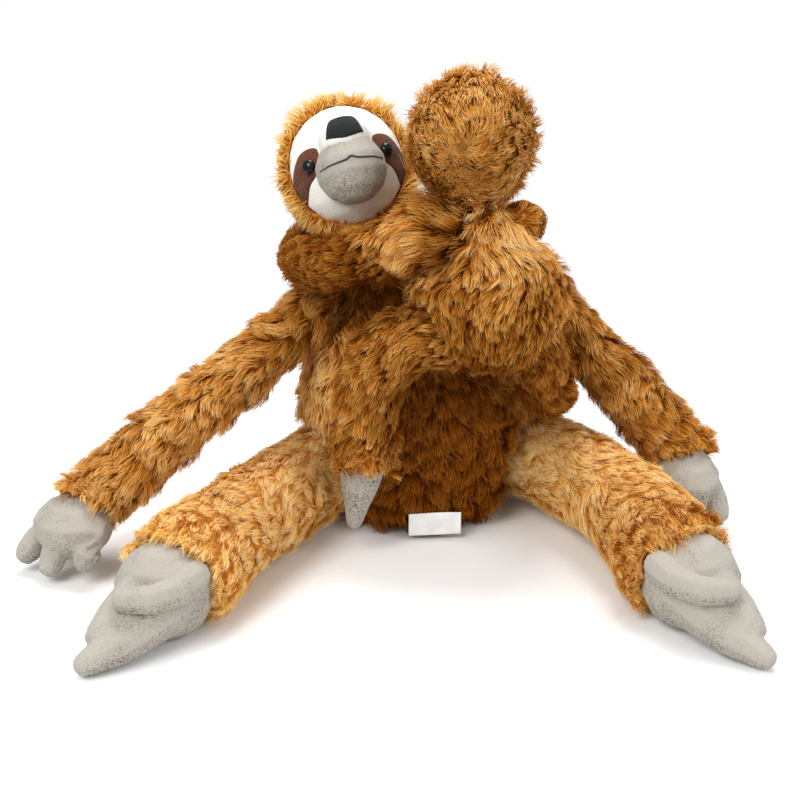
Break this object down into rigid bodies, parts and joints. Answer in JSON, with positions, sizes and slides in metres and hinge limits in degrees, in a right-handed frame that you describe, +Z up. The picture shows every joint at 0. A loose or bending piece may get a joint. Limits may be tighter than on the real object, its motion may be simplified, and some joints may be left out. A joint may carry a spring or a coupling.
{
  "type": "plush toy",
  "caption": "Seated long-furred plush sloth with splayed limbs, three-fingered grey hands and feet, and a smaller sloth clinging to its chest with its arms round the neck.",
  "frame": {"origin": "middle of the flat underside of the mother's seat, on the surface that she sits on", "axes": "+X to the right as seen from her front, -Y out of her front, +Z up"},
  "size_m": [0.5902, 0.4121, 0.3931],
  "materials": {
    "golden_fur": "long curly pile, golden brown with darker roots",
    "grey_plush": "short nap, warm grey",
    "white_plush": "short nap, off-white",
    "brown_plush": "short nap, brown",
    "black_plush": "smooth short nap, black",
    "black_thread": "embroidery thread",
    "black_plastic": "polished black",
    "clear_plastic": "natural plastic",
    "label_cloth": "smooth woven tape, bare"
  },
  "bodies": {
    "mother": {"torso": "golden_fur", "care_label": "label_cloth", "baby_torso": "golden_fur"},
    "head": {"hood": "golden_fur", "face": "white_plush", "muzzle": "grey_plush", "nose": "black_plush", "mouth": "black_thread", "eye_patch_left": "brown_plush", "eye_left": "black_plastic", "eye_washer_left": "clear_plastic", "eye_patch_right": "brown_plush", "eye_right": "black_plastic", "eye_washer_right": "clear_plastic"},
    "arm_left": {"arm_left": "golden_fur", "hand_left": "grey_plush"},
    "leg_left": {"leg_left": "golden_fur", "foot_left": "grey_plush"},
    "baby_arm_left": {"baby_arm_left": "golden_fur", "baby_hand_left": "grey_plush", "hook_pad": "black_thread"},
    "baby_leg_left": {"baby_leg_left": "golden_fur", "baby_foot_left": "grey_plush"},
    "arm_right": {"arm_right": "golden_fur", "hand_right": "grey_plush"},
    "leg_right": {"leg_right": "golden_fur", "foot_right": "grey_plush"},
    "baby_arm_right": {"baby_arm_right": "golden_fur", "baby_hand_right": "grey_plush", "loop_pad": "black_thread"},
    "baby_leg_right": {"baby_leg_right": "golden_fur", "baby_foot_right": "grey_plush"},
    "baby_head": {"baby_hood": "golden_fur", "baby_face": "white_plush", "baby_muzzle": "grey_plush", "baby_nose": "black_plush", "baby_mouth": "black_thread", "baby_eye_patch_left": "brown_plush", "baby_eye_left": "black_plastic", "baby_eye_washer_left": "clear_plastic", "baby_eye_patch_right": "brown_plush", "baby_eye_right": "black_plastic", "baby_eye_washer_right": "clear_plastic"}
  },
  "joints": [
    {"name": "neck_turn", "type": "hinge", "parent": "mother", "child": "head", "pos_m": [-0.042, -0.007, 0.25], "axis": [-0.3933, -0.1539, 0.9064], "range_deg": [-20, 10]},
    {"name": "arm_left_raise", "type": "hinge", "parent": "mother", "child": "arm_left", "pos_m": [-0.08477, -0.01957, 0.19], "axis": [-0.4848, 0.8746, 0], "range_deg": [0, 15]},
    {"name": "arm_right_raise", "type": "hinge", "parent": "mother", "child": "arm_right", "pos_m": [0.08477, 0.01957, 0.19], "axis": [-0.4226, -0.9063, 0], "range_deg": [0, 50]},
    {"name": "leg_left_spread", "type": "hinge", "parent": "mother", "child": "leg_left", "pos_m": [-0.076, -0.01755, 0.046], "axis": [0, 0, -1], "range_deg": [-4, 10]},
    {"name": "leg_right_spread", "type": "hinge", "parent": "mother", "child": "leg_right", "pos_m": [0.076, 0.01755, 0.046], "axis": [0, 0, 1], "range_deg": [-14, 0]},
    {"name": "baby_head_turn", "type": "hinge", "parent": "mother", "child": "baby_head", "pos_m": [0.035, -0.095, 0.342], "axis": [0, 0, 1], "range_deg": [-20, 20]},
    {"name": "baby_arm_left_open", "type": "hinge", "parent": "mother", "child": "baby_arm_left", "pos_m": [0.012, -0.105, 0.276], "axis": [0, 0, 1], "range_deg": [0, 70]},
    {"name": "baby_arm_right_open", "type": "hinge", "parent": "mother", "child": "baby_arm_right", "pos_m": [0.073, -0.098, 0.278], "axis": [0, 0, 1], "range_deg": [-70, 0]},
    {"name": "baby_leg_left_lift", "type": "hinge", "parent": "mother", "child": "baby_leg_left", "pos_m": [0.02, -0.112, 0.194], "axis": [1, 0, 0], "range_deg": [-45, 0]},
    {"name": "baby_leg_right_open", "type": "hinge", "parent": "mother", "child": "baby_leg_right", "pos_m": [0.082, -0.11, 0.19], "axis": [0, 0, 1], "range_deg": [-5, 0]}
  ]
}
